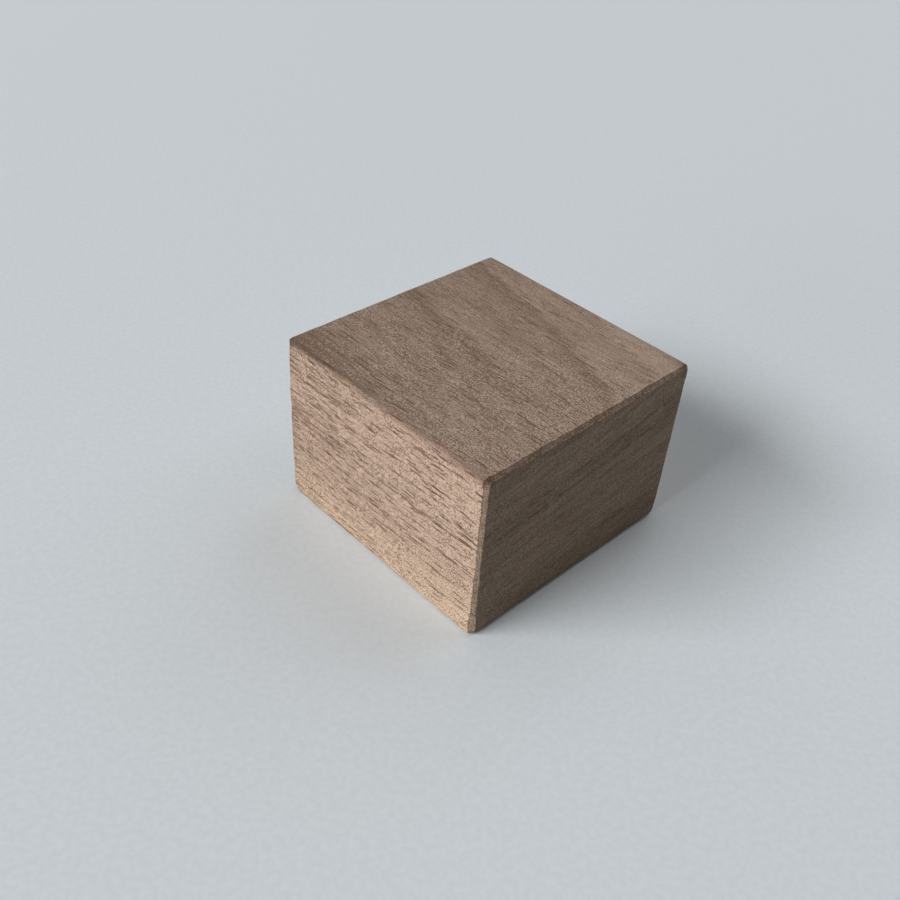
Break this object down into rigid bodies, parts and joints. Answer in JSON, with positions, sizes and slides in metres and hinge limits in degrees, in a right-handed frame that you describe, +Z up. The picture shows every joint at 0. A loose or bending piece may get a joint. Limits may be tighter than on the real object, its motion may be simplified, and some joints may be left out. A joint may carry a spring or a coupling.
{
  "type": "wooden block",
  "caption": "Low square block of solid walnut with eased arrises, sawn from a planed board, for use as a small spacer, riser, base or craft blank.",
  "frame": {"origin": "middle of the face that the block rests on", "axes": "+X along the grain, so the end-grain faces look along -X and +X; +Z up through the board's thickness"},
  "size_m": [0.03, 0.03, 0.0207],
  "materials": {
    "walnut": "bare sanded walnut, matt, with open pores"
  },
  "bodies": {
    "root": {"wooden_block": "walnut"}
  },
  "joints": []
}
